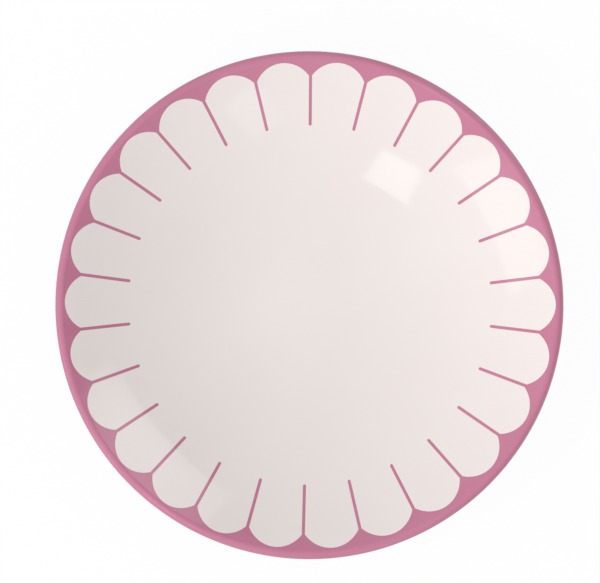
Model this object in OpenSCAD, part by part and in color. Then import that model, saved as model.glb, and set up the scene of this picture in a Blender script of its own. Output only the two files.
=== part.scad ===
// Coupe pasta plate of glazed porcelain, with a scalloped border printed into the glaze.
// The origin lies on the table under the middle of the plate, and +Z points up.

/* [Plate] */
// Diameter over the lip
plate_d = 235; // [210:1:270]
// Height from the table to the top of the lip
plate_h = 44; // [38:1:54]
// Diameter of the level middle of the well
level_d = 40; // [20:1:64]
// Thickness of the finished plate in the middle of the well
base_t = 5; // [4:0.1:7]
// Thickness of the finished lip, which is fully round
lip_t = 5.2; // [3:0.1:6.5]

/* [Foot ring] */
// Diameter of the foot ring along the middle of its standing face
foot_d = 118; // [100:1:130]
// Width of the flat face that stands on the table
foot_face_w = 3; // [2:0.1:5]
// Radius of the rounded edges beside the standing face
foot_edge_r = 1; // [0.6:0.1:1.5]
// Slope of the foot ring's sides from upright, in degrees
foot_draft = 10; // [4:1:18]
// Radius of the glazed fillet between the foot ring and the underside
foot_fillet_r = 2.5; // [1.5:0.1:4]
// Height of the glazed underside above the table, in the middle
recess_h = 3; // [2:0.1:5]

/* [Glaze] */
// Thickness of the glaze, and of the colour sunk into it
glaze_t = 0.4; // [0.3:0.05:0.6]

/* [Border] */
// Number of petals
petals = 26; // [20:1:32]
// Angle of the first line from +X, in degrees
border_turn = 6.3; // [0:0.1:14]
// Distance from the plate's edge to the tops of the petals, in plan
petal_margin = 4.6; // [3:0.1:7]
// Distance from the plate's edge to the points where two petals meet, in plan
cusp_margin = 11.9; // [10:0.1:16]
// Distance from the plate's edge to the inner ends of the lines, in plan
line_margin = 33.3; // [22:0.1:42]
// Width of a line
line_w = 1.45; // [0.8:0.05:2]
// Length by which a line runs up into the band
line_root = 1.8; // [1.4:0.1:3]
// Angle on the round lip where the colour ends outside, above the widest point
lip_print_end = 12; // [0:1:40]
// Largest drift of the hand-laid lines that comes once round the plate, in degrees
drift_once = 0.68; // [0:0.01:1]
// Largest drift of the hand-laid lines that comes twice round the plate, in degrees
drift_twice = 0.51; // [0:0.01:1]
// Largest drift of the hand-laid lines that comes three times round the plate, in degrees
drift_thrice = 0.17; // [0:0.01:1]
// Largest drift of the hand-laid border towards the plate's edge, in its longest wave
drift_out = 0.37; // [0:0.01:0.5]

/* [Hidden] */
$fn = 180;

// Turn of one straight step along each round stretch of the profile, in degrees
wall_turn = 3;
lip_turn = 12;
foot_turn = 16;
tip_turn = 45;

// Where on the plate the three drifts of the lines start, in degrees
once_start = 55.5;
twice_start = 160.5;
thrice_start = 210;

// Waves of the drift towards the edge: times round the plate, share of the longest wave, start in degrees
out_waves = [[2, 1, 79], [3, 0.64, 76], [4, 0.54, 151], [5, 0.47, 68]];

plate_r = plate_d / 2;
lip_r = lip_t / 2;
level_r = level_d / 2;
foot_r = foot_d / 2;
well_z = recess_h + base_t;
lip_c = [plate_r - lip_r, plate_h - lip_r];

// Radius of the arc that leaves the level middle at height z and runs smoothly into the round lip:
// side is 1 for the eating side and -1 for the underside
function wall_radius(z, side) =
    let (across = lip_c.x - level_r, up = lip_c.y - z)
    (across * across + up * up - lip_r * lip_r) / (2 * (up + side * lip_r));

well_r = wall_radius(well_z, 1);
under_r = wall_radius(recess_h, -1);
well_c = [level_r, well_z + well_r];
under_c = [level_r, recess_h + under_r];

function direction(v) = atan2(v.y, v.x);
function reversed(list) = [for (i = [len(list) - 1 : -1 : 0]) list[i]];
function on_circle(c, r, a) = c + r * [cos(a), sin(a)];

// Points of an arc without its first point, which the path already has
function arc_on(c, r, from, to, turn) =
    let (steps = ceil(abs(to - from) / turn))
    [for (i = [1 : 1 : steps]) on_circle(c, r, from + (to - from) * i / steps)];

lip_in = direction(well_c - lip_c);
lip_out = direction(lip_c - under_c);

// Foot ring: side is 1 for its outer side and -1 for its inner side
function foot_normal(side) = [side * cos(foot_draft), -sin(foot_draft)];
function foot_up(side) = [side * sin(foot_draft), cos(foot_draft)];
function foot_corner(side) = [foot_r + side * foot_face_w / 2, foot_edge_r];
function bare_end(side) = foot_corner(side) + foot_edge_r * foot_normal(side);

// Middle of the fillet that touches the foot ring's side and the underside
function fillet_c(side) =
    let (
        p = bare_end(side) + (foot_fillet_r + glaze_t) * foot_normal(side),
        v = p - under_c,
        along = v * foot_up(side),
        rise = -along - sqrt(along * along - v * v + pow(under_r + foot_fillet_r, 2))
    )
    p + rise * foot_up(side);

function fillet_meet(side) = direction(fillet_c(side) - under_c);

// The glaze ends in a slanted edge at the bare foot, and depth 0 is the finished surface
function foot_end(side, depth) =
    bare_end(side) + (glaze_t - depth) * (foot_normal(side) + foot_up(side));

// Paths along the finished surface, or along the surface at a depth below it
function eating_path(depth) = concat(
    [[0, well_z - depth], [level_r, well_z - depth]],
    arc_on(well_c, well_r + depth, -90, lip_in - 180, wall_turn),
    arc_on(lip_c, lip_r - depth, lip_in, 90, lip_turn),
    arc_on(lip_c, lip_r - depth, 90, lip_print_end, lip_turn)
);

function outside_path(depth) = concat(
    [on_circle(lip_c, lip_r - depth, lip_print_end)],
    arc_on(lip_c, lip_r - depth, lip_print_end, 0, lip_turn),
    arc_on(lip_c, lip_r - depth, 0, lip_out, lip_turn),
    arc_on(under_c, under_r - depth, lip_out, fillet_meet(1), wall_turn),
    arc_on(fillet_c(1), foot_fillet_r + depth, fillet_meet(1) + 180, 180 - foot_draft, foot_turn),
    [foot_end(1, depth)]
);

function recess_path(depth) = concat(
    [[0, recess_h + depth], [level_r, recess_h + depth]],
    arc_on(under_c, under_r - depth, -90, fillet_meet(-1), wall_turn),
    arc_on(fillet_c(-1), foot_fillet_r + depth, fillet_meet(-1) + 180, foot_draft, foot_turn),
    [foot_end(-1, depth)]
);

// Bare rounded edges and standing face, from the outer side to the inner side
function bare_path() = concat(
    arc_on(foot_corner(1), foot_edge_r, -foot_draft, -90, foot_turn),
    [foot_corner(-1) - [0, foot_edge_r]],
    arc_on(foot_corner(-1), foot_edge_r, -90, foot_draft - 180, foot_turn)
);

function without_first(list) = [for (i = [1 : len(list) - 1]) list[i]];

module glaze_coat(surface, clay) {
    rotate_extrude() polygon(concat(surface, reversed(clay)));
}

module eating_coat() {
    glaze_coat(eating_path(0), eating_path(glaze_t));
}

// Border in plan
petal_step = 360 / petals;
top_r = plate_r - petal_margin;
cusp_r = plate_r - cusp_margin;
line_end_r = plate_r - line_margin;
line_root_r = cusp_r + line_root;

function line_angle(k) =
    border_turn + k * petal_step
    + drift_once * sin(k * petal_step + once_start)
    + drift_twice * sin(2 * k * petal_step + twice_start)
    + drift_thrice * sin(3 * k * petal_step + thrice_start);

function sum_of(list) = list * [for (v = list) 1];

// Drift of the border towards the plate's edge at an angle, and the most that it can come to
function drift_at(a) = drift_out * sum_of([for (w = out_waves) w[1] * sin(w[0] * a + w[2])]);
drift_reach = drift_out * sum_of([for (w = out_waves) w[1]]);

// Round top of the petal between two lines, through both cusps
module petal_top(k) {
    half = (line_angle(k + 1) - line_angle(k)) / 2;
    middle = line_angle(k) + half;
    half_width = cusp_r * sin(half);
    rise = top_r - cusp_r * cos(half);
    r = (half_width * half_width + rise * rise) / (2 * rise);
    rotate(middle)
        translate([top_r + drift_at(middle) - r, 0])
            circle(r);
}

module scallop_plan() {
    difference() {
        circle(plate_r + line_w);
        circle(cusp_r - line_w - drift_reach);
        for (k = [0 : petals - 1]) petal_top(k);
    }
}

module line_plan() {
    start = line_end_r + line_w / 2;
    for (k = [0 : petals - 1])
        rotate(line_angle(k))
            translate([drift_at(line_angle(k)), 0])
                polygon(concat(
                    [[line_root_r, -line_w / 2], [line_root_r, line_w / 2], [start, line_w / 2]],
                    arc_on([start, 0], line_w / 2, 90, 270, tip_turn)
                ));
}

module through_plate() {
    linear_extrude(plate_h + line_w) children();
}

module porcelain_body() {
    color("oldlace")
        rotate_extrude()
            polygon(concat(
                eating_path(glaze_t),
                without_first(outside_path(glaze_t)),
                bare_path(),
                without_first(reversed(recess_path(glaze_t)))
            ));
}

module inside_glaze() {
    color("snow")
        difference() {
            eating_coat();
            through_plate() scallop_plan();
            through_plate() line_plan();
        }
}

module outside_glaze() {
    color("snow") glaze_coat(outside_path(0), outside_path(glaze_t));
}

module foot_well_glaze() {
    color("snow") glaze_coat(recess_path(0), recess_path(glaze_t));
}

module scallop_band() {
    color("palevioletred")
        intersection() {
            eating_coat();
            through_plate() difference() {
                scallop_plan();
                line_plan();
            }
        }
}

module petal_lines() {
    color("palevioletred")
        intersection() {
            eating_coat();
            through_plate() line_plan();
        }
}

porcelain_body();
inside_glaze();
outside_glaze();
foot_well_glaze();
scallop_band();
petal_lines();
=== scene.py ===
"""Dresses the pasta plate: glazed white porcelain with a scalloped pink border."""

import math
from collections import namedtuple
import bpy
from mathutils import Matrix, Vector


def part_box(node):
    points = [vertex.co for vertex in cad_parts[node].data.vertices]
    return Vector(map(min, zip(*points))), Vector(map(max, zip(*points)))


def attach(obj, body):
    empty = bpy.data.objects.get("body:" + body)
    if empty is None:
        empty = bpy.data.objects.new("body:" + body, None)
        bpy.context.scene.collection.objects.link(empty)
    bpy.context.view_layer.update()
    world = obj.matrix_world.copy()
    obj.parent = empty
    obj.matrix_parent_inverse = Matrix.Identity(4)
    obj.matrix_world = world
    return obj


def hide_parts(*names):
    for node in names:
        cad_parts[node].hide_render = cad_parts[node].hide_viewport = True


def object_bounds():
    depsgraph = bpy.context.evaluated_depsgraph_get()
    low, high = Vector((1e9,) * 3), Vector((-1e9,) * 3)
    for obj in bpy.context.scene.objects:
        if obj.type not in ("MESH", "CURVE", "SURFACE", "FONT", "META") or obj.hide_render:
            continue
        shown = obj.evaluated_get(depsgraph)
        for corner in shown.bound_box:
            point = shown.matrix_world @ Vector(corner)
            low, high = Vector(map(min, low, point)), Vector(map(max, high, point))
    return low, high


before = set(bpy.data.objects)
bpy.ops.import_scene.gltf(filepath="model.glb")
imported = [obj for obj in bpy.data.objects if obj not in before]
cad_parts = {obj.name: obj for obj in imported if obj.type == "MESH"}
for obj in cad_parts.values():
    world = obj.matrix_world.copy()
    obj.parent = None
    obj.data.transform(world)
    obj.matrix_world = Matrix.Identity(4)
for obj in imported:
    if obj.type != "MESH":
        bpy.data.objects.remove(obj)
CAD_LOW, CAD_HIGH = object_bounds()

from types import SimpleNamespace

import bmesh
import bpy
from bpy.props import FloatProperty, FloatVectorProperty, IntProperty, PointerProperty
from bpy.types import Operator, Panel, PropertyGroup
from mathutils import Euler, Vector

bl_info = {
    "name": "Pasta Plate",
    "version": (1, 0, 0),
    "blender": (4, 5, 0),
    "location": "View3D > Sidebar > Pasta Plate",
    "description": "Builds a glazed porcelain plate with a scalloped border, and a studio round it",
    "category": "Object",
}

MM = 0.001
WHITE = (1.0, 1.0, 1.0, 1.0)

# Body that every piece rides on
BODY = "root"

# Thickness of the glaze and height of the well's middle, from the frame
BODY_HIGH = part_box("porcelain_body")[1]
GLAZE_THICKNESS = CAD_HIGH.z - BODY_HIGH.z
WELL_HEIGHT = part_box("inside_glaze")[0].z + GLAZE_THICKNESS

# Faces along and round the pieces
LATHE_SEGMENTS = 360
PETAL_COLUMNS = 16
WELL_ROWS = 30
PETAL_ROWS = 32
BAND_WALL_ROWS = 8
BAND_LIP_ROWS = 14
WALL_TURN = math.radians(1.5)
LIP_TURN = math.radians(10)
FOOT_TURN = math.radians(10)
BEAD_TURN = 3 * FOOT_TURN

# Points that are closer than this are one, in a tree and in the finished mesh
WELD = 1e-6
FINE_WELD = WELD / 10

# Faces that meet at a larger angle keep a sharp edge
SHARP_ANGLE = math.radians(38)

# Least width of the band's first rows, for petals that reach up to the lip
BAND_WALL_LEAST = 0.3 * MM

# Waves of the border's drift towards the edge: times round the plate, share of the longest wave, and start
OUT_WAVES = (
    (2, 1.0, math.radians(79)),
    (3, 0.64, math.radians(76)),
    (4, 0.54, math.radians(151)),
    (5, 0.47, math.radians(68)),
)

# Glaze: gloss and how much its clouds dull it, and scale and depth of its slight waves and orange peel
GLAZE_IOR = 1.5
GLAZE_ROUGHNESS = 0.045
GLAZE_DULLING = 0.05
GLAZE_CLOUD_SCALE = 60.0
GLAZE_WAVE_SCALE = 45.0
GLAZE_WAVE_DEPTH = 0.04 * MM
GLAZE_PEEL_SCALE = 700.0
GLAZE_PEEL_SHARE = 0.02

# White glaze: scale of the pools, and the noise at which they start and are full; scale of the cells that
# can hold a fleck, the chance from which a cell shows one, and where a fleck's edge starts and ends
POOL_SCALE = 14.0
POOL_LIMITS = (0.35, 0.7)
FLECK_CELL_SCALE = 110.0
FLECK_CHANCE = (0.8, 0.82)
FLECK_EDGE = (0.008, 0.02)

# Pink: scale of its clouds and grain, the grain's share, and the noise between full and thin colour
PINK_CLOUD_SCALE = 35.0
PINK_GRAIN_SCALE = 1800.0
PINK_GRAIN_SHARE = 0.3
PINK_THIN_LIMITS = (0.35, 0.7)

# Bare porcelain: roughness, its fine grain, and the grey rubs of the standing face
CLAY_ROUGHNESS = 0.55
CLAY_GRAIN_ROUGHNESS = 0.2
CLAY_GRAIN_SCALE = 2500.0
CLAY_GRAIN_DEPTH = 0.06 * MM
RUB_SCALE = 160.0
RUB_LIMITS = (0.6, 0.75)
RUB_STRENGTH = 0.5

# Places of the sockets of a Mix node that mixes colours
MIX_SHARE, MIX_FIRST, MIX_SECOND = 0, 6, 7
MIX_RESULT = 2

# Attribute that holds the number of each copy of a mesh
COPY_NUMBER = "copy"

# The photograph's frame and the plate's place in it, in pixels, and the camera's sensor
FRAME_W, FRAME_H = 600, 583
PLATE_CENTRE_PX = (309.4, 305.2)
PLATE_WIDTH_PX = 508.2
SENSOR_MM = 36

# White floor: its side, the gap below the standing face, and its roughness
FLOOR_SIZE = 12.0
FLOOR_GAP = 0.05 * MM
FLOOR_ROUGHNESS = 0.9

# Share of the floor's white that is its own glow: where it is seen away from the plate, where it is seen
# under the plate, and for the light on the underside
FLOOR_GLOW = 0.94
FLOOR_GLOW_UNDER = 0.5
FLOOR_LIFT = 0.45

# The floor's colour where it is seen, and for the light that it throws back
FLOOR_SEEN = (0.9, 0.9, 0.9, 1.0)
FLOOR_BOUNCE = (0.35, 0.35, 0.35, 1.0)

# Lamps: compass angle and tilt from straight up, then lean, spin and roll away from facing the plate, in
# degrees; then distance, width and height in metres, and brightness against the white background
Lamp = namedtuple("Lamp", "turn tilt lean spin roll distance width height brightness")

# Softboxes, which show in the gloss, with the place of the brightest spot as shares of width and height,
# and how much of the brightness is lost half the width and half the height away from it
Softbox = namedtuple("Softbox", "lamp spot loss")
SOFTBOXES = {
    "upper_softbox": Softbox(
        lamp=Lamp(
            turn=237.3, tilt=38.6, lean=-14.1, spin=-6.6, roll=2.2,
            distance=1.2, width=0.237, height=0.296, brightness=2.3),
        spot=(0.5, 0.5), loss=(0.06, 0.06)),
    "left_softbox": Softbox(
        lamp=Lamp(
            turn=203.6, tilt=66.0, lean=-26.9, spin=3.9, roll=1.8,
            distance=1.5, width=0.853, height=0.62, brightness=1.1),
        spot=(0.5, 1.0), loss=(0.0, 0.17)),
    "right_softbox": Softbox(
        lamp=Lamp(
            turn=36.1, tilt=66.6, lean=4.5, spin=28.8, roll=-4.9,
            distance=1.5, width=1.365, height=0.62, brightness=2.1),
        spot=(0.54, 0.5), loss=(0.6, 0.4)),
    "front_softbox": Softbox(
        lamp=Lamp(
            turn=286.4, tilt=58.3, lean=-18.6, spin=-37.7, roll=21.5,
            distance=1.5, width=0.323, height=0.546, brightness=0.9),
        spot=(1.0, 0.0), loss=(0.09, 0.09)),
}

# Large lamp that lights the plate from the lower left, and doesn't show in the gloss
KEY = Lamp(
    turn=208, tilt=60, lean=0, spin=0, roll=0,
    distance=2.0, width=1.6, height=1.6, brightness=2.4)

# Compass angle of the studio's dark side, how much of the white the gloss loses there, and the sines of
# the angles above the horizon at which the dark starts and is full
DARK_SIDE = 20
DARK_SIDE_SHADE = 0.8
DARK_SIDE_RISE = (0.12, 0.32)


def size(name, words, default):
    """A length in metres."""
    return FloatProperty(name=name, description=words, default=default, unit="LENGTH", precision=4)


def angle(name, words, degrees):
    """An angle, given in degrees."""
    return FloatProperty(name=name, description=words, default=math.radians(degrees), unit="ROTATION")


def colour(name, words, default):
    """A finish's colour."""
    return FloatVectorProperty(
        name=name, description=words, default=default, subtype="COLOR", min=0, max=1)


class PlateSizes(PropertyGroup):
    """Sizes of the porcelain body and its glaze."""

    plate_d: size("Diameter", "Diameter over the lip", CAD_HIGH.x - CAD_LOW.x)
    plate_h: size("Height", "Height from the table to the top of the lip", CAD_HIGH.z - CAD_LOW.z)
    well_z: size("Well height", "Height of the middle of the well above the table", WELL_HEIGHT)
    level_d: size("Level middle", "Diameter of the level middle of the well", 40 * MM)
    lip_t: size("Lip", "Thickness of the round lip", 5.2 * MM)
    recess_h: size("Recess", "Height of the underside above the table", 3 * MM)
    foot_d: size("Foot ring", "Diameter along the middle of the standing face", 118 * MM)
    foot_face_w: size("Standing face", "Width of the flat face on the table", 3 * MM)
    foot_edge_r: size("Foot edges", "Radius of the edges beside the standing face", 1 * MM)
    foot_draft: angle("Foot slope", "Slope of the foot ring's sides from upright", 10)
    foot_fillet_r: size("Foot fillet", "Radius of the fillet above the foot ring", 2.5 * MM)
    glaze_t: size("Glaze", "Thickness of the glaze and the colour in it", GLAZE_THICKNESS)


class BorderSizes(PropertyGroup):
    """Sizes of the scalloped border, measured in plan."""

    petals: IntProperty(name="Petals", description="Number of petals", default=26, min=3)
    turn: angle("Turn", "Angle of the first line", 6.3)
    petal_margin: size("Petal margin", "From the plate's edge to the petals' tops", 4.6 * MM)
    cusp_margin: size("Cusp margin", "From the plate's edge to where petals meet", 11.9 * MM)
    line_margin: size("Line margin", "From the plate's edge to the lines' tips", 33.3 * MM)
    line_w: size("Line width", "Width of a line", 1.45 * MM)
    lip_end: angle("Colour's end", "Angle on the lip where the colour ends outside", 12)
    drift_once: angle("Drift once", "Largest drift of the lines, once round", 0.68)
    drift_twice: angle("Drift twice", "Largest drift of the lines, twice round", 0.51)
    drift_thrice: angle("Drift thrice", "Largest drift of the lines, three times round", 0.17)
    once_start: angle("Once from", "Where the first drift starts", 55.5)
    twice_start: angle("Twice from", "Where the second drift starts", 160.5)
    thrice_start: angle("Thrice from", "Where the third drift starts", 210)
    drift_out: size("Drift out", "Drift of the border towards the edge, in its longest wave", 0.37 * MM)


class PlateColours(PropertyGroup):
    """Colours of the finishes."""

    glaze: colour("Glaze", "White porcelain seen through the glaze", (0.815, 0.757, 0.737))
    glaze_pool: colour("Pooled glaze", "Glaze where it lies thicker", (0.8, 0.737, 0.714))
    fleck: colour("Fleck", "Faint specks in the porcelain", (0.6, 0.53, 0.47))
    pink: colour("Pink", "Colour of the border", (0.508, 0.169, 0.274))
    pink_thin: colour("Thin pink", "The border where its colour lies thinner", (0.543, 0.191, 0.3))
    clay: colour("Bare porcelain", "Standing face without glaze", (0.74, 0.68, 0.62))
    scuff: colour("Scuff", "Grey rubs on the standing face", (0.42, 0.4, 0.38))


class StudioSettings(PropertyGroup):
    """Camera and light."""

    camera_height: size("Camera height", "Height of the camera above the lip", 1.5)
    fill: FloatProperty(name="Fill", description="Strength of the even light all round", default=0.86)


class PlateSettings(PropertyGroup):
    """All settings of the plate."""

    plate: PointerProperty(type=PlateSizes)
    border: PointerProperty(type=BorderSizes)
    colours: PointerProperty(type=PlateColours)
    studio: PointerProperty(type=StudioSettings)


def settings():
    return bpy.context.scene.pasta_plate


# Profile of the plate, as radius and height

def plate_form(p):
    """Works out the arcs of the well, the underside and the lip from the driving sizes."""
    form = SimpleNamespace()
    form.lip_r = p.lip_t / 2
    form.level_r = p.level_d / 2
    form.lip_c = Vector((p.plate_d / 2 - form.lip_r, p.plate_h - form.lip_r))
    across = form.lip_c.x - form.level_r

    def wall_radius(z, side):
        up = form.lip_c.y - z
        return (across ** 2 + up ** 2 - form.lip_r ** 2) / (2 * (up + side * form.lip_r))

    form.well_r = wall_radius(p.well_z, 1)
    form.under_r = wall_radius(p.recess_h, -1)
    form.well_c = Vector((form.level_r, p.well_z + form.well_r))
    form.under_c = Vector((form.level_r, p.recess_h + form.under_r))
    form.lip_in = direction(form.well_c - form.lip_c)
    form.lip_out = direction(form.lip_c - form.under_c)
    return form


def direction(v):
    return math.atan2(v.y, v.x)


def on_circle(centre, radius, turn):
    return centre + radius * Vector((math.cos(turn), math.sin(turn)))


def arc_on(centre, radius, start, end, step):
    """Points of an arc without its first point, which the path already has."""
    count = math.ceil(abs(end - start) / step)
    return [on_circle(centre, radius, start + (end - start) * i / count) for i in range(1, count + 1)]


def foot_side(p, form, side):
    """One side of the foot ring: 1 is its outer side and -1 its inner side."""
    foot = SimpleNamespace()
    foot.normal = Vector((side * math.cos(p.foot_draft), -math.sin(p.foot_draft)))
    foot.up = Vector((side * math.sin(p.foot_draft), math.cos(p.foot_draft)))
    foot.corner = Vector((p.foot_d / 2 + side * p.foot_face_w / 2, p.foot_edge_r))
    foot.bare_end = foot.corner + p.foot_edge_r * foot.normal
    start = foot.bare_end + (p.foot_fillet_r + p.glaze_t) * foot.normal
    away = start - form.under_c
    along = away.dot(foot.up)
    reach = form.under_r + p.foot_fillet_r
    rise = -along - math.sqrt(along ** 2 - away.dot(away) + reach ** 2)
    foot.fillet_c = start + rise * foot.up
    foot.meet = direction(foot.fillet_c - form.under_c)
    foot.side_turn = direction(-foot.normal)
    return foot


def eating_path(p, form, depth, lip_end):
    return [
        Vector((0, p.well_z - depth)),
        Vector((form.level_r, p.well_z - depth)),
        *arc_on(form.well_c, form.well_r + depth, -math.pi / 2, form.lip_in - math.pi, WALL_TURN),
        *arc_on(form.lip_c, form.lip_r - depth, form.lip_in, lip_end, LIP_TURN),
    ]


def outside_path(p, form, depth, lip_end):
    foot = foot_side(p, form, 1)
    return [
        on_circle(form.lip_c, form.lip_r - depth, lip_end),
        *arc_on(form.lip_c, form.lip_r - depth, lip_end, form.lip_out, LIP_TURN),
        *arc_on(form.under_c, form.under_r - depth, form.lip_out, foot.meet, WALL_TURN),
        *arc_on(foot.fillet_c, p.foot_fillet_r + depth, foot.meet + math.pi, foot.side_turn, FOOT_TURN),
        *glaze_bead(p, foot, depth),
    ]


def recess_path(p, form, depth):
    foot = foot_side(p, form, -1)
    return [
        Vector((0, p.recess_h + depth)),
        Vector((form.level_r, p.recess_h + depth)),
        *arc_on(form.under_c, form.under_r - depth, -math.pi / 2, foot.meet, WALL_TURN),
        *arc_on(foot.fillet_c, p.foot_fillet_r + depth, foot.meet + math.pi, foot.side_turn, FOOT_TURN),
        *glaze_bead(p, foot, depth),
    ]


def glaze_bead(p, foot, depth):
    """The glaze ends in a rounded bead on the foot ring, and the porcelain at the bead's foot."""
    if depth > 0:
        return [foot.bare_end]
    middle = foot.bare_end + p.glaze_t * foot.up
    start = direction(foot.normal)
    end = direction(-foot.up)
    turn = (end - start + math.pi) % math.tau - math.pi
    top = on_circle(middle, p.glaze_t, start)
    return [top, *arc_on(middle, p.glaze_t, start, start + turn, BEAD_TURN)[:-1]]


def bare_path(p, form):
    """Bare edges and standing face, from the outer side to the inner side."""
    outer, inner = foot_side(p, form, 1), foot_side(p, form, -1)
    down = -math.pi / 2
    return [
        *arc_on(outer.corner, p.foot_edge_r, -p.foot_draft, down, FOOT_TURN),
        inner.corner - Vector((0, p.foot_edge_r)),
        *arc_on(inner.corner, p.foot_edge_r, down, p.foot_draft - math.pi, FOOT_TURN),
    ]


# Number fields for node trees

class Field:
    """A number inside a node tree. Arithmetic on it adds Math nodes to the tree."""

    def __init__(self, socket):
        self.socket = socket

    def __add__(self, other):
        return maths("ADD", self, other)

    def __radd__(self, other):
        return maths("ADD", other, self)

    def __sub__(self, other):
        return maths("SUBTRACT", self, other)

    def __rsub__(self, other):
        return maths("SUBTRACT", other, self)

    def __mul__(self, other):
        return maths("MULTIPLY", self, other)

    def __truediv__(self, other):
        return maths("DIVIDE", self, other)

    def __rtruediv__(self, other):
        return maths("DIVIDE", other, self)


def maths(operation, *values):
    """Adds a Math node to the tree that its fields are in, and gives its result."""
    tree = next(v.socket.id_data for v in values if isinstance(v, Field))
    made = tree.nodes.new("ShaderNodeMath")
    made.operation = operation
    for socket, value in zip(made.inputs, values):
        plug(tree, socket, value)
    return Field(made.outputs[0])


def square(a):
    return a * a


def clamped(a):
    return maths("MINIMUM", maths("MAXIMUM", a, 0.0), 1.0)


def eased(a):
    """Runs from 0 to 1 with short steps at both ends."""
    return a * a * (3.0 - a * 2.0)


def between(a, b, share):
    """Runs from a to b as the share runs from 0 to 1."""
    return a + (b - a) * share


def new_tree(tree_name, numbers):
    """Makes a tree with a named input for each number, and gives those inputs as fields."""
    tree = bpy.data.node_groups.new(tree_name, "GeometryNodeTree")
    tree.interface.new_socket("Geometry", in_out="INPUT", socket_type="NodeSocketGeometry")
    for name, value in numbers.items():
        kind = "NodeSocketInt" if isinstance(value, int) else "NodeSocketFloat"
        tree.interface.new_socket(input_label(name), in_out="INPUT", socket_type=kind)
    tree.interface.new_socket("Material", in_out="INPUT", socket_type="NodeSocketMaterial")
    tree.interface.new_socket("Geometry", in_out="OUTPUT", socket_type="NodeSocketGeometry")
    plugs = tree.nodes.new("NodeGroupInput").outputs
    fields = SimpleNamespace(**{name: Field(plugs[input_label(name)]) for name in numbers})
    return tree, plugs, fields


def input_label(name):
    return name.replace("_", " ").capitalize()


def node(tree, kind, **inputs):
    """Adds a node and fills its inputs by name, from sockets, fields or plain values."""
    made = tree.nodes.new(kind)
    for label, value in inputs.items():
        plug(tree, made.inputs[label.replace("_", " ").title()], value)
    return made


def plug(tree, socket, value):
    if isinstance(value, Field):
        tree.links.new(value.socket, socket)
    elif isinstance(value, bpy.types.NodeSocket):
        tree.links.new(value, socket)
    else:
        socket.default_value = value


def unit_grid(tree, columns, rows):
    """A grid of one by one, which a formula then lays on the plate."""
    grid = node(tree, "GeometryNodeMeshGrid", size_x=1.0, size_y=1.0, vertices_x=columns, vertices_y=rows)
    return grid.outputs["Mesh"]


def grid_place(tree):
    """Place on the unit grid, from 0 to 1 each way."""
    place = tree.nodes.new("GeometryNodeInputPosition")
    parts = node(tree, "ShaderNodeSeparateXYZ", vector=place.outputs[0])
    return Field(parts.outputs["X"]) + 0.5, Field(parts.outputs["Y"]) + 0.5


def repeated(tree, geometry, count):
    """Copies a mesh in place, and gives each copy's number as a field."""
    points = node(tree, "GeometryNodePoints", count=count)
    copies = node(tree, "GeometryNodeInstanceOnPoints", points=points.outputs[0], instance=geometry)
    index = tree.nodes.new("GeometryNodeInputIndex")
    store = tree.nodes.new("GeometryNodeStoreNamedAttribute")
    store.data_type = "FLOAT"
    store.domain = "INSTANCE"
    store.inputs["Name"].default_value = COPY_NUMBER
    tree.links.new(copies.outputs[0], store.inputs["Geometry"])
    tree.links.new(index.outputs[0], store.inputs["Value"])
    meshes = node(tree, "GeometryNodeRealizeInstances", geometry=store.outputs[0])
    number = tree.nodes.new("GeometryNodeInputNamedAttribute")
    number.data_type = "FLOAT"
    number.inputs["Name"].default_value = COPY_NUMBER
    return meshes.outputs[0], Field(number.outputs["Attribute"])


def laid_round(tree, geometry, radius, turn, height):
    """Moves each point to a radius, angle and height about the plate's axis."""
    x = radius * maths("COSINE", turn)
    y = radius * maths("SINE", turn)
    place = node(tree, "ShaderNodeCombineXYZ", x=x, y=y, z=height)
    return node(tree, "GeometryNodeSetPosition", geometry=geometry, position=place.outputs[0]).outputs[0]


def end_tree(tree, plugs, geometry, turned_over):
    """Welds the seams, and ends the tree with real meshes in their material."""
    weld = node(tree, "GeometryNodeMergeByDistance", geometry=geometry, distance=WELD).outputs[0]
    if turned_over:
        weld = node(tree, "GeometryNodeFlipFaces", mesh=weld).outputs[0]
    real = node(tree, "GeometryNodeRealizeInstances", geometry=weld).outputs[0]
    dressed = node(tree, "GeometryNodeSetMaterial", geometry=real, material=plugs["Material"]).outputs[0]
    tree.links.new(dressed, tree.nodes.new("NodeGroupOutput").inputs[0])


def grown(name, tree, numbers, material, start=None, thickness=0.0):
    """Runs a tree on an object, thickens the result inwards and keeps it as a plain mesh."""
    obj = bpy.data.objects.new(name, start or bpy.data.meshes.new(name))
    bpy.context.scene.collection.objects.link(obj)
    nodes = obj.modifiers.new("Form", "NODES")
    nodes.node_group = tree
    values = {input_label(key): value for key, value in numbers.items()} | {"Material": material}
    for item in tree.interface.items_tree:
        if item.in_out == "INPUT" and item.name in values:
            nodes[item.identifier] = values[item.name]
    if thickness:
        shell = obj.modifiers.new("Thickness", "SOLIDIFY")
        shell.thickness = thickness
        shell.offset = -1
        shell.use_even_offset = True
    ready = obj.evaluated_get(bpy.context.evaluated_depsgraph_get())
    mesh = bpy.data.meshes.new_from_object(ready)
    obj.modifiers.clear()
    obj.data = mesh
    closed_and_smooth(mesh)
    if not mesh.polygons:
        raise RuntimeError(f"{name} came out empty")
    return obj


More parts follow.
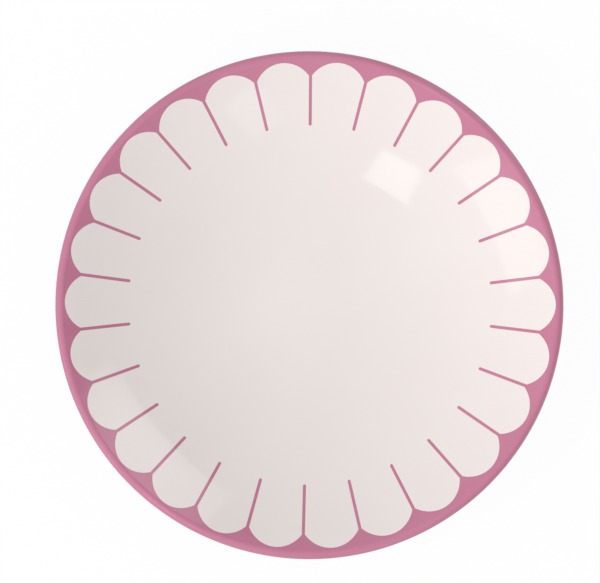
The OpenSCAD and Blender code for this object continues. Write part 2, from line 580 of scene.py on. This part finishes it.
def closed_and_smooth(mesh):
    """Welds a mesh, points its faces outwards and keeps only its true corners sharp."""
    work = bmesh.new()
    work.from_mesh(mesh)
    bmesh.ops.remove_doubles(work, verts=work.verts, dist=FINE_WELD)
    bmesh.ops.dissolve_degenerate(work, edges=work.edges, dist=FINE_WELD)
    bmesh.ops.recalc_face_normals(work, faces=work.faces)
    for face in work.faces:
        face.smooth = True
    for edge in work.edges:
        edge.smooth = edge.calc_face_angle(0.0) < SHARP_ANGLE
    open_edges = [e for e in work.edges if not e.is_manifold]
    work.to_mesh(mesh)
    work.free()
    if open_edges:
        raise RuntimeError(f"{mesh.name} has {len(open_edges)} open edges")


# Trees

def lathe_tree():
    """Turns a profile, drawn as points at radius X and height Z, round the plate's axis."""
    tree, plugs, n = new_tree("Plate lathe", {"segments": LATHE_SEGMENTS})
    profile = plugs["Geometry"]
    count = node(tree, "GeometryNodeAttributeDomainSize", geometry=profile).outputs["Point Count"]
    mesh = unit_grid(tree, n.segments + 1.0, count)
    round_share, path_share = grid_place(tree)
    row = maths("ROUND", path_share * (Field(count) - 1.0))
    sample = tree.nodes.new("GeometryNodeSampleIndex")
    sample.data_type = "FLOAT_VECTOR"
    place = tree.nodes.new("GeometryNodeInputPosition")
    tree.links.new(profile, sample.inputs["Geometry"])
    tree.links.new(place.outputs[0], sample.inputs["Value"])
    tree.links.new(row.socket, sample.inputs["Index"])
    parts = node(tree, "ShaderNodeSeparateXYZ", vector=sample.outputs[0])
    radius, height = Field(parts.outputs["X"]), Field(parts.outputs["Z"])
    end_tree(tree, plugs, laid_round(tree, mesh, radius, round_share * math.tau, height), False)
    return tree


def border_numbers():
    """Numbers that the border's trees share."""
    p, b = settings().plate, settings().border
    form = plate_form(p)
    edge = p.plate_d / 2
    return {
        "petals": b.petals,
        "turn": b.turn,
        "top_radius": edge - b.petal_margin,
        "cusp_radius": edge - b.cusp_margin,
        "tip_radius": edge - b.line_margin,
        "line_width": b.line_w,
        "drift_once": b.drift_once,
        "drift_twice": b.drift_twice,
        "drift_thrice": b.drift_thrice,
        "once_start": b.once_start,
        "twice_start": b.twice_start,
        "thrice_start": b.thrice_start,
        "drift_out": b.drift_out,
        "level_radius": form.level_r,
        "well_height": p.well_z,
        "well_radius": form.well_r,
        "lip_radius": form.lip_r,
        "lip_middle_radius": form.lip_c.x,
        "lip_in": form.lip_in,
        "lip_end": b.lip_end,
        "lip_start_radius": form.lip_c.x + form.lip_r * math.cos(form.lip_in),
    }


def line_angle(n, k):
    turn = k * (math.tau / n.petals)
    once = n.drift_once * maths("SINE", turn + n.once_start)
    twice = n.drift_twice * maths("SINE", turn * 2.0 + n.twice_start)
    thrice = n.drift_thrice * maths("SINE", turn * 3.0 + n.thrice_start)
    return n.turn + turn + once + twice + thrice


def drift_at(n, turn):
    """How far the border drifts towards the plate's edge at an angle."""
    waves = (maths("SINE", turn * times + start) * share for times, share, start in OUT_WAVES)
    return n.drift_out * sum(waves)


def tip_at(n, k):
    """Radius of a line's tip."""
    return n.tip_radius + drift_at(n, line_angle(n, k))


def petal_shape(n, k):
    """Round top of a petal: it runs through both cusps and ends on the edges of its two lines."""
    first, last = line_angle(n, k), line_angle(n, k + 1.0)
    petal = SimpleNamespace()
    petal.half = (last - first) * 0.5
    petal.middle = first + petal.half
    sine, cosine = maths("SINE", petal.half), maths("COSINE", petal.half)
    rise = n.top_radius - n.cusp_radius * cosine
    petal.radius = (square(n.cusp_radius * sine) + square(rise)) / (rise * 2.0)
    petal.centre = n.top_radius - petal.radius + drift_at(n, petal.middle)
    half_line = n.line_width * 0.5
    gap = petal.centre * sine - half_line
    reach = petal.centre * cosine + maths("SQRT", square(petal.radius) - square(gap))
    petal.end = petal.half - maths("ARCTAN2", half_line, reach)
    petal.end_radius = maths("SQRT", square(reach) + square(half_line))
    petal.end_turn = maths(
        "ARCTAN2",
        petal.end_radius * maths("SINE", petal.end),
        petal.end_radius * maths("COSINE", petal.end) - petal.centre)
    return petal


def petal_edge(petal, across):
    """Radius, and angle from the petal's middle, of a point on its round top."""
    turn = petal.end_turn * (across * 2.0 - 1.0)
    x = petal.centre + petal.radius * maths("COSINE", turn)
    y = petal.radius * maths("SINE", turn)
    return maths("SQRT", square(x) + square(y)), maths("ARCTAN2", y, x)


def line_side_angle(n, tip, radius):
    """Angle from a line's middle to its side, which closes in a round tip."""
    half_line = n.line_width * 0.5
    into_tip = maths("MAXIMUM", tip + half_line - radius, 0.0)
    half_width = maths("SQRT", maths("MAXIMUM", square(half_line) - square(into_tip), 0.0))
    return maths("ARCSINE", half_width / radius)


def eating_height(n, radius):
    """Height of the eating side: level middle, wall, and the first stretch of the round lip."""
    out = maths("MAXIMUM", maths("MINIMUM", radius, n.lip_start_radius) - n.level_radius, 0.0)
    wall = n.well_height + n.well_radius - maths("SQRT", square(n.well_radius) - square(out))
    over_lip = maths("MAXIMUM", radius, n.lip_start_radius) - n.lip_middle_radius
    lip = maths("SQRT", square(n.lip_radius) - square(over_lip)) - n.lip_radius * maths("SINE", n.lip_in)
    return wall + lip


def petal_glaze_tree(numbers):
    """White glaze of the eating side: one wedge for each petal, from the middle to its round top."""
    tree, plugs, n = new_tree("Petal glaze", numbers)
    rows = n.well_rows + n.petal_rows
    mesh = unit_grid(tree, n.petal_columns + 1.0, rows + 1.0)
    mesh, k = repeated(tree, mesh, n.petals)
    across, along = grid_place(tree)
    petal = petal_shape(n, k)
    edge_radius, edge_angle = petal_edge(petal, across)
    tip = between(tip_at(n, k), tip_at(n, k + 1.0), across)
    row = along * rows
    in_well = clamped(row / n.well_rows)
    in_petal = eased(clamped((row - n.well_rows) / n.petal_rows))
    radius = tip * in_well + (edge_radius - tip) * in_petal
    beside = maths("MINIMUM", radius, petal.end_radius)
    spread = (petal.half - line_side_angle(n, tip, beside)) / petal.end
    turn = petal.middle + edge_angle * spread
    end_tree(tree, plugs, laid_round(tree, mesh, radius, turn, eating_height(n, radius)), True)
    return tree


def scallop_band_tree(numbers):
    """Pink band from the petals' round tops over the lip, with a step across each line's end."""
    tree, plugs, n = new_tree("Scallop band", numbers)
    rows = n.wall_rows + n.lip_rows
    mesh = unit_grid(tree, n.petal_columns + 2.0, rows + 1.0)
    mesh, k = repeated(tree, mesh, n.petals)
    across, along = grid_place(tree)
    column = maths("ROUND", across * (n.petal_columns + 1.0))
    past_petal = clamped(column - n.petal_columns)
    on_petal = clamped(column / n.petal_columns) * (1.0 - past_petal)
    petal = petal_shape(n, k + past_petal)
    edge_radius, edge_angle = petal_edge(petal, on_petal)
    row = along * rows
    up_wall = eased(clamped(row / n.wall_rows))
    over_lip = clamped((row - n.wall_rows) / n.lip_rows)
    wall_end = maths("MAXIMUM", n.lip_start_radius, edge_radius + BAND_WALL_LEAST)
    wall_place = between(edge_radius, wall_end, up_wall)
    lip_first = maths("ARCCOSINE", (wall_end - n.lip_middle_radius) / n.lip_radius)
    lip_turn = between(lip_first, n.lip_end, over_lip)
    radius = wall_place + n.lip_radius * (maths("COSINE", lip_turn) - maths("COSINE", lip_first))
    rise = n.lip_radius * (maths("SINE", lip_turn) - maths("SINE", lip_first))
    height = eating_height(n, wall_place) + rise
    end_tree(tree, plugs, laid_round(tree, mesh, radius, petal.middle + edge_angle, height), True)
    return tree


def petal_line_tree(numbers):
    """Pink lines between the petals, from their round tips to the band."""
    tree, plugs, n = new_tree("Petal lines", numbers)
    mesh = unit_grid(tree, 2, n.petal_rows + 1.0)
    mesh, k = repeated(tree, mesh, n.petals)
    across, along = grid_place(tree)
    before, after = petal_shape(n, k - 1.0), petal_shape(n, k)
    end_radius = between(before.end_radius, after.end_radius, across)
    tip = tip_at(n, k)
    radius = between(tip, end_radius, eased(along))
    turn = line_angle(n, k) + line_side_angle(n, tip, radius) * (across * 2.0 - 1.0)
    end_tree(tree, plugs, laid_round(tree, mesh, radius, turn, eating_height(n, radius)), True)
    return tree


# Materials

def new_material(name):
    material = bpy.data.materials.new(name)
    material.use_nodes = True
    tree = material.node_tree
    return material, tree, tree.nodes["Principled BSDF"]


def noise(tree, coords, scale, detail=2.0):
    return Field(node(tree, "ShaderNodeTexNoise", vector=coords, scale=scale, detail=detail).outputs[0])


def mixed(tree, share, first, second):
    mix = tree.nodes.new("ShaderNodeMix")
    mix.data_type = "RGBA"
    for place, value in ((MIX_SHARE, share), (MIX_FIRST, first), (MIX_SECOND, second)):
        plug(tree, mix.inputs[place], value)
    return mix.outputs[MIX_RESULT]


def solid(rgb):
    return (*rgb, 1.0)


def object_coords(tree):
    return tree.nodes.new("ShaderNodeTexCoord").outputs["Object"]


def stepped(value, low, high):
    """Runs from 0 at low to 1 at high, and stays there."""
    return clamped((value - low) / (high - low))


def bumped(tree, shader, height, depth):
    bump = node(tree, "ShaderNodeBump", strength=1.0, distance=depth, height=height)
    tree.links.new(bump.outputs[0], shader.inputs["Normal"])


def glaze_surface(tree, shader, coords):
    """Gloss, slight waves and orange peel that the white glaze and the colour in it share."""
    shader.inputs["IOR"].default_value = GLAZE_IOR
    roughness = noise(tree, coords, GLAZE_CLOUD_SCALE) * GLAZE_DULLING + GLAZE_ROUGHNESS
    tree.links.new(roughness.socket, shader.inputs["Roughness"])
    waves = noise(tree, coords, GLAZE_WAVE_SCALE, detail=1.0)
    peel = noise(tree, coords, GLAZE_PEEL_SCALE, detail=1.0) * GLAZE_PEEL_SHARE
    bumped(tree, shader, waves + peel, GLAZE_WAVE_DEPTH)


def white_glaze(colours):
    material, tree, shader = new_material("white_glaze")
    coords = object_coords(tree)
    pooled = stepped(noise(tree, coords, POOL_SCALE), *POOL_LIMITS)
    tone = mixed(tree, pooled, solid(colours.glaze), solid(colours.glaze_pool))
    cells = node(tree, "ShaderNodeTexVoronoi", vector=coords, scale=FLECK_CELL_SCALE).outputs
    chance = node(tree, "ShaderNodeSeparateColor", color=cells["Color"]).outputs[0]
    rare = stepped(Field(chance), *FLECK_CHANCE)
    fleck = (1.0 - stepped(Field(cells["Distance"]), *FLECK_EDGE)) * rare
    tree.links.new(mixed(tree, fleck, tone, solid(colours.fleck)), shader.inputs["Base Color"])
    glaze_surface(tree, shader, coords)
    return material


def pink_in_glaze(colours):
    material, tree, shader = new_material("pink_in_glaze")
    coords = object_coords(tree)
    cloud = noise(tree, coords, PINK_CLOUD_SCALE, detail=3.0)
    grain = noise(tree, coords, PINK_GRAIN_SCALE, detail=1.0)
    thin = stepped(cloud * (1 - PINK_GRAIN_SHARE) + grain * PINK_GRAIN_SHARE, *PINK_THIN_LIMITS)
    tone = mixed(tree, thin, solid(colours.pink), solid(colours.pink_thin))
    tree.links.new(tone, shader.inputs["Base Color"])
    glaze_surface(tree, shader, coords)
    return material


def bare_porcelain(colours):
    material, tree, shader = new_material("bare_porcelain")
    coords = object_coords(tree)
    grain = noise(tree, coords, CLAY_GRAIN_SCALE, detail=3.0)
    rub = noise(tree, coords, RUB_SCALE, detail=4.0)
    scuffs = stepped(rub, *RUB_LIMITS) * RUB_STRENGTH
    tone = mixed(tree, scuffs, solid(colours.clay), solid(colours.scuff))
    tree.links.new(tone, shader.inputs["Base Color"])
    roughness = grain * CLAY_GRAIN_ROUGHNESS + CLAY_ROUGHNESS
    tree.links.new(roughness.socket, shader.inputs["Roughness"])
    bumped(tree, shader, grain, CLAY_GRAIN_DEPTH)
    return material


# Pieces

def profile_mesh(name, path):
    mesh = bpy.data.meshes.new(name)
    mesh.from_pydata([(r, 0, z) for r, z in path], [], [])
    return mesh


def turned(name, path, material):
    """Turns a profile into a closed piece."""
    tree = bpy.data.node_groups.get("Plate lathe") or lathe_tree()
    return grown(name, tree, {"segments": LATHE_SEGMENTS}, material, profile_mesh(name, path))


def seated(piece, node_name):
    """Hides the frame's solid that a piece stands for, and sets the piece on the body that it rides on."""
    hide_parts(node_name)
    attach(piece, BODY)


class PASTA_PLATE_OT_body(Operator):
    """Turns the porcelain body, whose foot ring stays bare"""

    bl_idname = "pasta_plate.body"
    bl_label = "Porcelain Body"

    def execute(self, context):
        p, lip_end = settings().plate, settings().border.lip_end
        form = plate_form(p)
        # A point where two of these paths meet is kept once
        path = eating_path(p, form, p.glaze_t, lip_end)
        path += outside_path(p, form, p.glaze_t, lip_end)[1:]
        path += bare_path(p, form)
        path += recess_path(p, form, p.glaze_t)[-2::-1]
        body = turned("fired_body", path, bare_porcelain(settings().colours))
        seated(body, "porcelain_body")
        return {"FINISHED"}


class PASTA_PLATE_OT_under_glazes(Operator):
    """Turns the two coats of glaze below the lip: outside, and inside the foot ring"""

    bl_idname = "pasta_plate.under_glazes"
    bl_label = "Glaze Below the Lip"

    def execute(self, context):
        p, lip_end = settings().plate, settings().border.lip_end
        form = plate_form(p)
        material = bpy.data.materials.get("white_glaze") or white_glaze(settings().colours)
        outside = outside_path(p, form, 0, lip_end) + outside_path(p, form, p.glaze_t, lip_end)[::-1]
        outside.append(outside[0])
        seated(turned("outer_coat", outside, material), "outside_glaze")
        recess = recess_path(p, form, 0) + recess_path(p, form, p.glaze_t)[::-1]
        seated(turned("foot_well_coat", recess, material), "foot_well_glaze")
        return {"FINISHED"}


class PASTA_PLATE_OT_petal_glaze(Operator):
    """Lays the white glaze of the eating side, which reaches up into the petals"""

    bl_idname = "pasta_plate.petal_glaze"
    bl_label = "Petal Glaze"

    def execute(self, context):
        numbers = border_numbers() | {
            "petal_columns": PETAL_COLUMNS, "well_rows": WELL_ROWS, "petal_rows": PETAL_ROWS}
        material = white_glaze(settings().colours)
        tree = petal_glaze_tree(numbers)
        coat = grown("petal_coat", tree, numbers, material, thickness=settings().plate.glaze_t)
        seated(coat, "inside_glaze")
        return {"FINISHED"}


class PASTA_PLATE_OT_border(Operator):
    """Lays the pink band over the lip and the pink lines between the petals"""

    bl_idname = "pasta_plate.border"
    bl_label = "Pink Border"

    def execute(self, context):
        material = pink_in_glaze(settings().colours)
        depth = settings().plate.glaze_t
        numbers = border_numbers() | {
            "petal_columns": PETAL_COLUMNS, "wall_rows": BAND_WALL_ROWS, "lip_rows": BAND_LIP_ROWS}
        band = grown("border_band", scallop_band_tree(numbers), numbers, material, thickness=depth)
        seated(band, "scallop_band")
        numbers = border_numbers() | {"petal_rows": PETAL_ROWS}
        lines = grown("border_lines", petal_line_tree(numbers), numbers, material, thickness=depth)
        seated(lines, "petal_lines")
        return {"FINISHED"}


# Studio

def hang_lamp(name, lamp):
    """Hangs a lamp whose power makes its face as bright as the lamp's brightness says."""
    light = bpy.data.lights.new(name, "AREA")
    light.shape = "RECTANGLE"
    light.size = lamp.width
    light.size_y = lamp.height
    light.energy = lamp.brightness * math.pi * lamp.width * lamp.height
    turn, tilt = math.radians(lamp.turn), math.radians(lamp.tilt)
    place = Vector((math.sin(tilt) * math.cos(turn), math.sin(tilt) * math.sin(turn), math.cos(tilt)))
    facing = (-place).to_track_quat("-Z", "Y").to_matrix()
    swing = Euler([math.radians(a) for a in (lamp.lean, lamp.spin, lamp.roll)], "ZYX").to_matrix()
    obj = bpy.data.objects.new(name, light)
    obj.location = lamp.distance * place
    obj.rotation_euler = (facing @ swing).to_euler()
    obj.visible_camera = False
    bpy.context.scene.collection.objects.link(obj)
    return obj


def hang_softbox(name, softbox):
    """Hangs a lamp that shows only in the gloss, and whose cloth is brightest at one spot."""
    obj = hang_lamp(name, softbox.lamp)
    obj.visible_diffuse = False
    obj.data.use_nodes = True
    tree = obj.data.node_tree
    place = tree.nodes.new("ShaderNodeNewGeometry").outputs["Parametric"]
    parts = node(tree, "ShaderNodeSeparateXYZ", vector=place).outputs
    across = square((Field(parts["X"]) - softbox.spot[0]) * 2.0) * softbox.loss[0]
    along = square((Field(parts["Y"]) - softbox.spot[1]) * 2.0) * softbox.loss[1]
    tree.links.new((1.0 - across - along).socket, tree.nodes["Emission"].inputs["Strength"])


def seen_directly(tree):
    """1 for rays from the camera, or from a gloss or clear surface, and 0 for other rays."""
    path = tree.nodes.new("ShaderNodeLightPath").outputs
    kinds = ("Is Camera Ray", "Is Glossy Ray", "Is Transmission Ray")
    camera, gloss, clear = (Field(path[kind]) for kind in kinds)
    return maths("MAXIMUM", camera, maths("MAXIMUM", gloss, clear))


def studio_world(fill):
    """White behind the plate, even fill light, and a studio that looks darker on one side in the gloss."""
    world = bpy.data.worlds.new("studio")
    bpy.context.scene.world = world
    world.use_nodes = True
    tree = world.node_tree
    background = tree.nodes["Background"]
    background.inputs["Color"].default_value = WHITE
    coords = tree.nodes.new("ShaderNodeTexCoord").outputs["Generated"]
    heading = node(tree, "ShaderNodeSeparateXYZ", vector=coords).outputs
    turn = math.radians(DARK_SIDE)
    towards = Field(heading["X"]) * math.cos(turn) + Field(heading["Y"]) * math.sin(turn)
    gloss = Field(tree.nodes.new("ShaderNodeLightPath").outputs["Is Glossy Ray"])
    above = stepped(Field(heading["Z"]), *DARK_SIDE_RISE)
    white = 1.0 - gloss * clamped(towards) * above * DARK_SIDE_SHADE
    strength = between(fill, white, seen_directly(tree))
    tree.links.new(strength.socket, background.inputs["Strength"])


def mixed_shaders(tree, share, first, second):
    mix = tree.nodes.new("ShaderNodeMixShader")
    for socket, value in zip(mix.inputs, (share, first, second)):
        plug(tree, socket, value)
    return mix.outputs[0]


def floor_material(p):
    """White floor that keeps a soft shadow, deepest under the plate, and lets a view from below pass."""
    material, tree, shader = new_material("studio_floor")
    direct = seen_directly(tree)
    parts = node(tree, "ShaderNodeSeparateXYZ", vector=object_coords(tree)).outputs
    away = maths("SQRT", square(Field(parts["X"])) + square(Field(parts["Y"])))
    under = 1.0 - stepped(away, p.foot_d / 2, p.plate_d / 2)
    shown = FLOOR_GLOW - under * (FLOOR_GLOW - FLOOR_GLOW_UNDER)
    share = between(under * FLOOR_LIFT, shown, direct)
    tree.links.new(mixed(tree, direct, FLOOR_BOUNCE, FLOOR_SEEN), shader.inputs["Base Color"])
    shader.inputs["Roughness"].default_value = FLOOR_ROUGHNESS
    shader.inputs["Specular IOR Level"].default_value = 0.0
    glow = node(tree, "ShaderNodeEmission", strength=1.0)
    lit = mixed_shaders(tree, share, shader.outputs[0], glow.outputs[0])
    behind = tree.nodes.new("ShaderNodeNewGeometry").outputs["Backfacing"]
    clear = tree.nodes.new("ShaderNodeBsdfTransparent")
    both = mixed_shaders(tree, behind, lit, clear.outputs[0])
    tree.links.new(both, tree.nodes["Material Output"].inputs["Surface"])
    return material


def floor(p):
    """Lays the floor just below the standing face."""
    half = FLOOR_SIZE / 2
    z = CAD_LOW.z - FLOOR_GAP
    mesh = bpy.data.meshes.new("studio_floor")
    corners = [(-half, -half, z), (half, -half, z), (half, half, z), (-half, half, z)]
    mesh.from_pydata(corners, [], [(0, 1, 2, 3)])
    mesh.materials.append(floor_material(p))
    obj = bpy.data.objects.new("studio_floor", mesh)
    bpy.context.scene.collection.objects.link(obj)


def camera(p, height):
    """Looks straight down, and stands so that the plate falls where the photograph has it."""
    data = bpy.data.cameras.new("camera")
    data.sensor_width = SENSOR_MM
    metres_a_pixel = p.plate_d / PLATE_WIDTH_PX
    data.lens = SENSOR_MM * height / (metres_a_pixel * FRAME_W)
    obj = bpy.data.objects.new("camera", data)
    obj.location = (
        (FRAME_W / 2 - PLATE_CENTRE_PX[0]) * metres_a_pixel,
        (PLATE_CENTRE_PX[1] - FRAME_H / 2) * metres_a_pixel,
        p.plate_h - p.lip_t / 2 + height)
    bpy.context.scene.collection.objects.link(obj)
    bpy.context.scene.camera = obj


class PASTA_PLATE_OT_studio(Operator):
    """Sets up the camera, the white floor and the soft lamps"""

    bl_idname = "pasta_plate.studio"
    bl_label = "Studio"

    def execute(self, context):
        studio = settings().studio
        context.scene.view_settings.view_transform = "Standard"
        camera(settings().plate, studio.camera_height)
        floor(settings().plate)
        studio_world(studio.fill)
        for name, softbox in SOFTBOXES.items():
            hang_softbox(name, softbox)
        key_lamp = hang_lamp("key_lamp", KEY)
        key_lamp.visible_glossy = False
        return {"FINISHED"}


class PASTA_PLATE_PT_panel(Panel):
    """Lists the plate's pieces"""

    bl_label = "Pasta Plate"
    bl_space_type = "VIEW_3D"
    bl_region_type = "UI"
    bl_category = "Pasta Plate"

    def draw(self, context):
        for operator in OPERATORS:
            self.layout.operator(operator.bl_idname)


GROUPS = (PlateSizes, BorderSizes, PlateColours, StudioSettings, PlateSettings)
OPERATORS = (
    PASTA_PLATE_OT_studio,
    PASTA_PLATE_OT_petal_glaze,
    PASTA_PLATE_OT_body,
    PASTA_PLATE_OT_under_glazes,
    PASTA_PLATE_OT_border,
)


def register():
    for kind in (*GROUPS, *OPERATORS, PASTA_PLATE_PT_panel):
        bpy.utils.register_class(kind)
    bpy.types.Scene.pasta_plate = PointerProperty(type=PlateSettings)


def unregister():
    del bpy.types.Scene.pasta_plate
    for kind in reversed((*GROUPS, *OPERATORS, PASTA_PLATE_PT_panel)):
        bpy.utils.unregister_class(kind)


def main():
    register()
    bpy.ops.pasta_plate.studio()
    bpy.ops.pasta_plate.petal_glaze()
    bpy.ops.pasta_plate.body()
    bpy.ops.pasta_plate.under_glazes()
    bpy.ops.pasta_plate.border()


if __name__ == "__main__":
    main()
